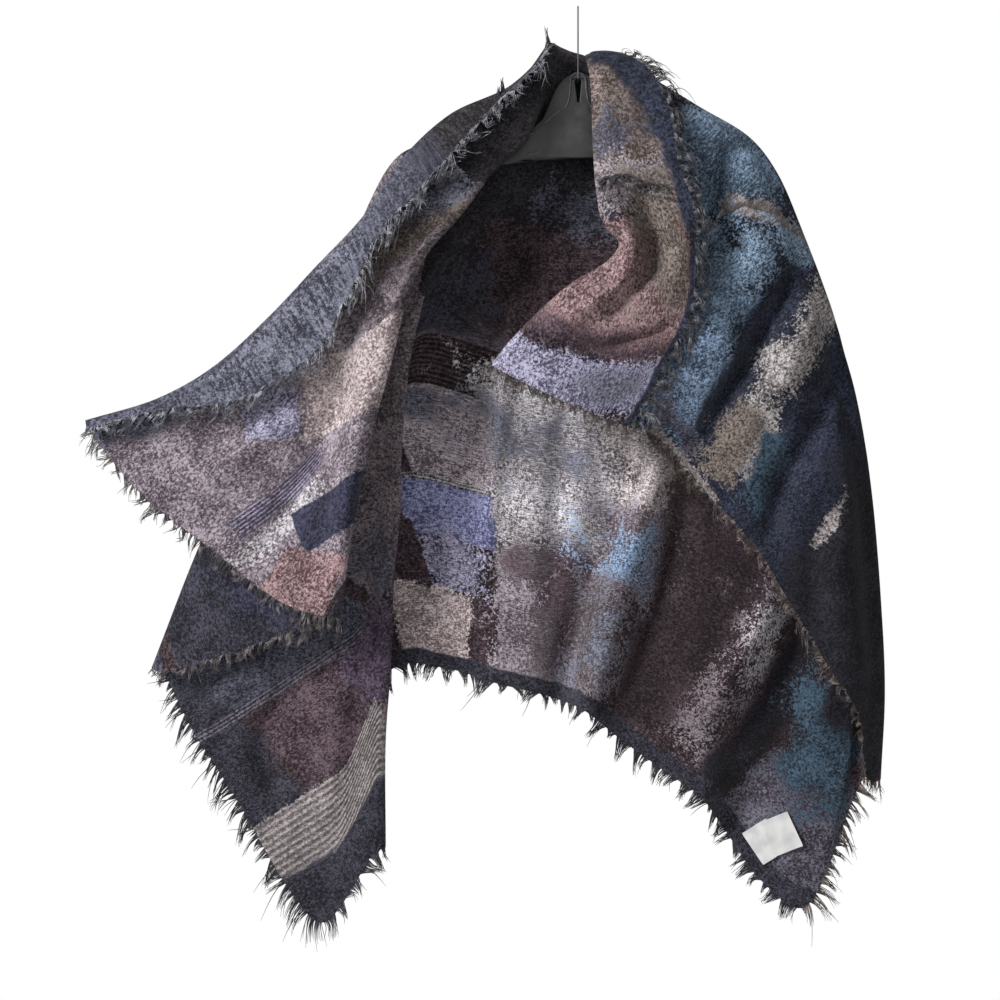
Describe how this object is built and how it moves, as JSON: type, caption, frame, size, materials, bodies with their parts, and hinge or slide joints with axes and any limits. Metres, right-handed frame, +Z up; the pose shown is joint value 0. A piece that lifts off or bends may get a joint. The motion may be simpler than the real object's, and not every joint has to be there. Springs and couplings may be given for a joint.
{
  "type": "shawl on a hanger",
  "caption": "Large fringed patchwork wool shawl hung open over a plain hanger, its fronts turned back, with a wire loop to hang it by.",
  "frame": {"origin": "middle of the wire loop's top bend, where a hook or nail holds it", "axes": "+Z up, the open front faces -Y, +X to the viewer's right as seen from the front"},
  "size_m": [0.9151, 0.1357, 1.0698],
  "materials": {
    "back_left": "felted wool, mauve and indigo patches",
    "back_middle": "felted wool, grey and taupe patches",
    "back_pleat": "felted wool, dark",
    "back_right": "felted wool, maroon and blue patches",
    "left_front": "felted wool, near-black navy",
    "left_margin": "felted wool, slate blue melange",
    "left_wing": "felted wool, mauve grey melange",
    "right_front": "felted wool, teal and navy patches",
    "right_lapel": "felted wool, rose and lavender",
    "fringe_left_margin": "frayed wool ends",
    "fringe_left_wing": "frayed wool ends",
    "fringe_left_front": "frayed wool ends",
    "fringe_left_end": "frayed wool ends",
    "fringe_left_hem": "frayed wool ends",
    "fringe_middle_hem": "frayed wool ends",
    "fringe_right_hem": "frayed wool ends",
    "fringe_right_end": "frayed wool ends",
    "fringe_right_front": "frayed wool ends",
    "fringe_lapel_end": "frayed wool ends",
    "fringe_lapel_edge": "frayed wool ends",
    "care_label": "smooth white tape, blank",
    "care_label_under": "smooth white tape, blank",
    "hanger": "satin black",
    "hanging_wire": "drawn wire"
  },
  "bodies": {
    "root": {"back_left": "back_left", "back_middle": "back_middle", "back_pleat": "back_pleat", "back_right": "back_right", "left_front": "left_front", "left_margin": "left_margin", "left_wing": "left_wing", "right_front": "right_front", "right_lapel": "right_lapel", "fringe_left_margin": "fringe_left_margin", "fringe_left_wing": "fringe_left_wing", "fringe_left_front": "fringe_left_front", "fringe_left_end": "fringe_left_end", "fringe_left_hem": "fringe_left_hem", "fringe_middle_hem": "fringe_middle_hem", "fringe_right_hem": "fringe_right_hem", "fringe_right_end": "fringe_right_end", "fringe_right_front": "fringe_right_front", "fringe_lapel_end": "fringe_lapel_end", "fringe_lapel_edge": "fringe_lapel_edge", "care_label": "care_label", "care_label_under": "care_label_under", "hanger": "hanger", "hanging_wire": "hanging_wire"}
  },
  "joints": []
}
